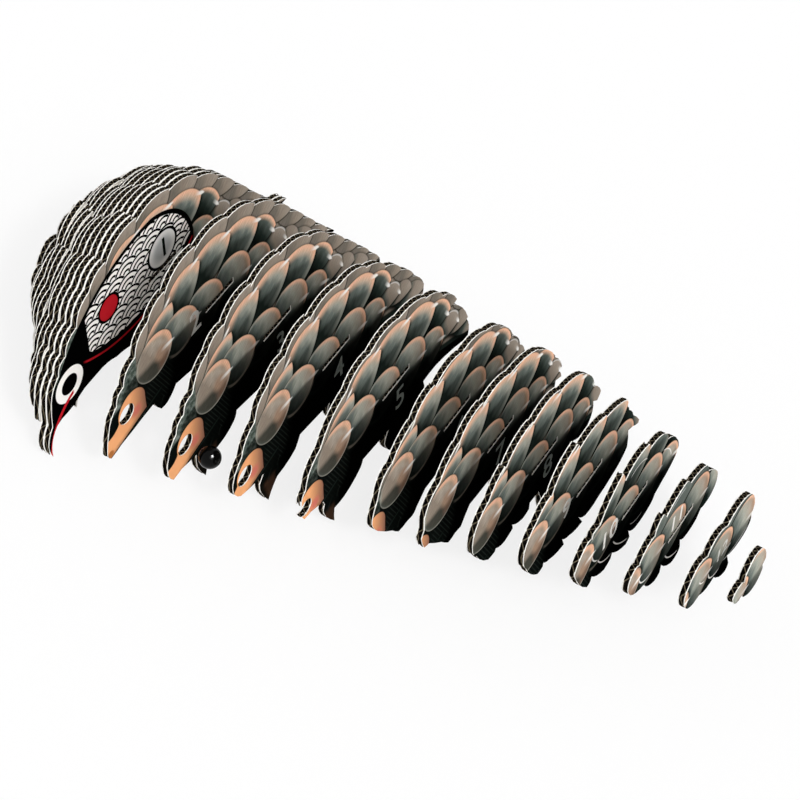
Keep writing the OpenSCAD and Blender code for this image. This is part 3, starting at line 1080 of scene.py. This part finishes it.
# Thin white lines of the small slices: both ends, bow, width, strength.
LOBE_LINES = {
    10: (
        ((33.5, 12.0), (38.5, 3.2), -1.0, 0.5, 0.7),
        ((39.0, 3.0), (51.5, -8.0), -2.4, 0.45, 0.7),
        ((52.0, 0.0), (66.5, -15.5), -1.8, 0.45, 0.6),
        ((67.0, -6.0), (78.0, -10.5), -1.6, 0.4, 0.3),
        ((92.0, 15.5), (101.0, 2.0), 2.0, 0.45, 0.7),
        ((62.0, 31.5), (76.5, 28.0), 2.6, 0.5, 0.6),
    ),
    11: (
        ((33.5, 13.0), (46.0, 3.6), -3.4, 0.5, 0.8),
        ((57.0, 0.0), (70.0, -12.0), -2.0, 0.45, 0.7),
        ((56.0, 30.5), (69.0, 33.0), 1.2, 0.5, 0.5),
    ),
    12: (
        ((44.0, 14.0), (49.0, 8.5), -0.8, 0.5, 0.8),
        ((52.5, 9.5), (64.0, -0.5), -3.2, 0.5, 0.8),
        ((66.0, 1.5), (90.0, -1.5), -2.6, 0.5, 0.4),
    ),
}

# For each slice: lower left corner of its number, height of the figures, ink.
NUMBERS = {
    1: ((67.6, 14.0), 11.0, Ink.SHADOW),
    2: ((46.8, 2.8), 12.6, Ink.PALE),
    3: ((67.0, -11.0), 11.5, Ink.INDEX),
    4: ((67.0, -10.5), 12.0, Ink.INDEX),
    5: ((68.0, -11.0), 12.5, Ink.INDEX),
    6: ((68.0, -11.0), 12.5, Ink.INDEX),
    7: ((65.0, -11.0), 12.5, Ink.INDEX),
    8: ((68.5, -9.0), 12.5, Ink.INDEX),
    9: ((46.5, 4.0), 11.0, Ink.PALE),
    10: ((40.0, 5.0), 11.0, Ink.GLINT),
    11: ((58.0, 12.5), 9.5, Ink.GLINT),
    12: ((58.0, 8.0), 8.0, Ink.PALE),
}


def add_piece(
    name: str, shape: bmesh.types.BMesh, finish: bpy.types.Material, body: str
) -> bpy.types.Object:
    """Makes an object of a finished mesh and sets it on its body.

    Args:
        name: The piece's name.
        shape: Its mesh, which is freed.
        finish: Its material.
        body: The body that it moves with.

    Returns:
        The new object.
    """
    mesh = bpy.data.meshes.new(name)
    shape.to_mesh(mesh)
    shape.free()
    mesh.materials.append(finish)
    piece = stand(name, mesh)
    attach(piece, body)
    log.info("%s rides on %s", name, body)
    return piece


@dataclass
class Bead:
    """A glossy eye bead with the parting line of its mould.

    Attributes:
        name: Name of the piece.
        node: The solid it stands for.
        body: The body it moves with.
        diameter: Its diameter.
        line: How far the parting line is sunk.
        dimple: How far the gate mark is sunk.
        meridians: How many segments it has around.
        rings: How many segments it has from pole to pole.
    """

    name: str
    node: str
    body: str
    diameter: float = BEAD_D
    line: float = 0.03
    dimple: float = 0.25
    meridians: int = 64
    rings: int = 40

    def build(self, finish: bpy.types.Material) -> bpy.types.Object:
        """Makes the bead where its solid is.

        Args:
            finish: Its material.

        Returns:
            The piece.
        """
        low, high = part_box(self.node)
        radius = self.diameter / 2 * MM
        ball = bmesh.new()
        bmesh.ops.create_uvsphere(
            ball, u_segments=self.meridians, v_segments=self.rings, radius=radius
        )
        belt = [v for v in ball.verts if abs(v.co.z) < 1e-6]
        for vert in belt:
            vert.co *= 1 - self.line * 2 / self.diameter
        for vert in ball.verts:
            if vert.co.z > radius * 0.986:
                vert.co.z -= self.dimple * MM
        bmesh.ops.rotate(ball, verts=ball.verts, matrix=Matrix.Rotation(math.pi / 2, 3, "X"))
        bmesh.ops.translate(ball, verts=ball.verts, vec=(low + high) / 2)
        for face in ball.faces:
            face.smooth = True
        piece = add_piece(self.name, ball, finish, self.body)
        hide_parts(self.node)
        return piece


@dataclass
class PrintedNumbers:
    """The slice numbers, as thin films of ink on the left faces.

    Attributes:
        film: Thickness of the ink film.
        weight: How much the strokes are thickened, on figures 12 mm high.
        squeeze: Width of the figures against the font's own.
        tall: Height of the figures against the font's size.
    """

    film: float = 0.03
    weight: float = 0.2
    squeeze: float = 0.9
    tall: float = 0.69

    def build(self) -> None:
        """Sets every number on its slice."""
        finishes = {}
        for slice_no, (corner, height, ink) in NUMBERS.items():
            if ink not in finishes:
                finishes[ink] = Clouded(f"number_{ink.name.lower()}", ink).make()
            self._set(slice_no, corner, height, finishes[ink])

    def _set(
        self, slice_no: int, low_left: Point, height: float, finish: bpy.types.Material
    ) -> None:
        """Makes one number.

        Args:
            slice_no: The slice it is on, and what it says.
            low_left: Its lower left corner on the print.
            height: Height of its figures.
            finish: Its material.
        """
        curve = bpy.data.curves.new("figures", "FONT")
        curve.body = str(slice_no)
        curve.size = height / self.tall * MM
        curve.offset = self.weight * height / 12 * MM
        curve.extrude = self.film / 2 * MM
        curve.space_character = 1.05
        curve.resolution_u = 4
        figures = stand("figures", curve)
        bpy.context.view_layer.update()
        graph = bpy.context.evaluated_depsgraph_get()
        mesh = bpy.data.meshes.new_from_object(figures.evaluated_get(graph))
        shape = bmesh.new()
        shape.from_mesh(mesh)
        bpy.data.objects.remove(figures)
        bpy.data.meshes.remove(mesh)
        bmesh.ops.remove_doubles(shape, verts=shape.verts, dist=1e-7)
        bmesh.ops.scale(shape, verts=shape.verts, vec=(self.squeeze, 1.0, 1.0))
        bmesh.ops.rotate(shape, verts=shape.verts, matrix=Matrix.Rotation(math.pi / 2, 3, "X"))
        face = -BOARD - SPREAD[slice_no - 1] - self.film / 2
        corner = Vector((low_left[0] - EYE_AHEAD, face, low_left[1] + EYE_UP))
        bmesh.ops.translate(shape, verts=shape.verts, vec=corner * MM)
        body = "right_half" if slice_no == 1 else f"left_slice_{slice_no}"
        add_piece(f"number_{slice_no}", shape, finish, body)


@dataclass
class Slices:
    """The board slices of both halves.

    Attributes:
        nodes: The solids by name.
    """

    nodes: dict[str, bpy.types.Object]

    def dress(self) -> None:
        """Gives every slice and the joining strip its board."""
        coat = art_group("coat")
        first = art_group("coat_and_emblem", emblem=True)
        tips = art_group("coat_of_tips", dim=0.65, swell=2.0)
        right = Board("board_right", coat, Side.RIGHT).make()
        left = Board("board_left", coat, Side.LEFT).make()
        bare = Board("board_bare", None, Side.LEFT).make()
        special = {
            1: Board("board_first", first, Side.LEFT).make(),
            13: Board("board_cap", tips, Side.LEFT, start=-float(SPREAD[-1])).make(),
        }
        for number, lines in LOBE_LINES.items():
            art = coat if number < FIRST_TIP else tips
            strokes = tuple(Stroke(*ends, bow, width, Ink.GLINT, strength)
                            for *ends, bow, width, strength in lines)
            special[number] = Board(f"board_{number}", art, Side.LEFT, strokes=strokes).make()
        for number in range(1, len(SPREAD) + 1):
            self._paint(f"right_slice_{number}", right)
            self._paint(f"left_slice_{number}", special.get(number, left))
        self._paint("joining_strip", bare)

    def _paint(self, node: str, finish: bpy.types.Material) -> None:
        """Puts a material on a solid.

        Args:
            node: The solid's name.
            finish: The material.
        """
        slots = self.nodes[node].data.materials
        slots.clear()
        slots.append(finish)
        log.info("%s wears %s", node, finish.name)


@dataclass
class Studio:
    """The pale floor, the soft light and the camera.

    Attributes:
        eye: Where the camera stands, in metres.
        ahead: The way it looks.
        up: The way up in its picture.
        focal: Its focal length for a sensor 36 mm wide.
        floor: Size of the floor, in metres.
        drop: How far the floor lies under the object, in metres.
        paper: How pale the floor is where the lamps light it.
        shine: Share of the floor's own white that the camera sees.
        sky: How strongly the white surroundings light the object.
        lamps: Name, strength, width in degrees and direction of each lamp.
    """

    eye: Triple = (-0.61055, -0.45750, 0.84079)
    ahead: Triple = (0.51792, 0.32526, -0.79118)
    up: Triple = (0.66997, 0.42083, 0.61159)
    focal: float = 108.84
    floor: float = 8.0
    drop: float = 0.0005
    paper: float = 0.9
    shine: float = 0.8
    sky: float = 0.56
    lamps: tuple[tuple[str, float, float, Triple], ...] = (
        ("key", 1.25, 38.0, (0.35, 0.75, -0.9)),
        ("spark", 1.1, 8.0, (0.35, 0.75, -0.9)),
        ("glint", 18.0, 24.0, (0.01, 0.6, -0.8)),
    )

    def build(self) -> None:
        """Sets up everything around the object."""
        self._camera()
        self._floor()
        self._light()

    def _camera(self) -> None:
        """Places the camera at the photograph's angle."""
        data = bpy.data.cameras.new("camera")
        data.sensor_width = 36.0
        data.lens = self.focal
        data.clip_start = 0.01
        camera = stand("camera", data)
        ahead, up = Vector(self.ahead), Vector(self.up)
        turn = Matrix((ahead.cross(up).normalized(), up, -ahead)).transposed().to_4x4()
        camera.matrix_world = Matrix.Translation(self.eye) @ turn
        bpy.context.scene.camera = camera

    def _floor(self) -> None:
        """Lays a white floor that keeps the object's soft shadow."""
        made, nodes = blank("floor")
        matte = nodes.node("ShaderNodeBsdfDiffuse", {"Color": (*[self.paper] * 3, 1.0)})
        glow = nodes.node("ShaderNodeEmission", {"Strength": 1.0})
        parts = {0: nodes.seen() * self.shine, 1: matte.outputs[0], 2: glow.outputs[0]}
        mixed = nodes.node("ShaderNodeMixShader", parts)
        nodes.node("ShaderNodeOutputMaterial", {0: mixed.outputs[0]})
        sheet = bmesh.new()
        bmesh.ops.create_grid(sheet, x_segments=1, y_segments=1, size=self.floor / 2)
        mesh = bpy.data.meshes.new("floor")
        sheet.to_mesh(mesh)
        sheet.free()
        mesh.materials.append(made)
        floor = stand("floor", mesh)
        floor.location = (0.0, 0.0, -self.drop)

    def _light(self) -> None:
        """Lights the object evenly from above the camera. Only glossy pieces see the glint."""
        world = bpy.data.worlds.new("studio")
        world.use_nodes = True
        world.node_tree.nodes.clear()
        nodes = Nodes(world.node_tree)
        strength = nodes.seen() * (1.0 - self.sky) + self.sky
        glow = nodes.node(
            "ShaderNodeBackground", {"Color": (1.0, 1.0, 1.0, 1.0), "Strength": strength}
        )
        nodes.node("ShaderNodeOutputWorld", {0: glow.outputs[0]})
        bpy.context.scene.world = world
        for name, energy, angle, way in self.lamps:
            data = bpy.data.lights.new(name, "SUN")
            data.energy = energy
            data.angle = math.radians(angle)
            lamp = stand(name, data)
            lamp.visible_diffuse = name != "glint"
            lamp.rotation_euler = Vector(way).to_track_quat("-Z", "Y").to_euler()


def main() -> None:
    """Builds the scene in order."""
    logging.basicConfig(level=logging.INFO, format="%(message)s")
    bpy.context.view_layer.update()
    Studio().build()
    Slices(frame["nodes"]).dress()
    PrintedNumbers().build()
    plastic = GLOSS.make()
    Bead("right_bead", "right_eye_bead", "right_half").build(plastic)
    Bead("left_bead", "left_eye_bead", "left_eye_bead").build(plastic)
    bpy.context.scene.view_settings.view_transform = "Standard"


if __name__ == "__main__":
    main()
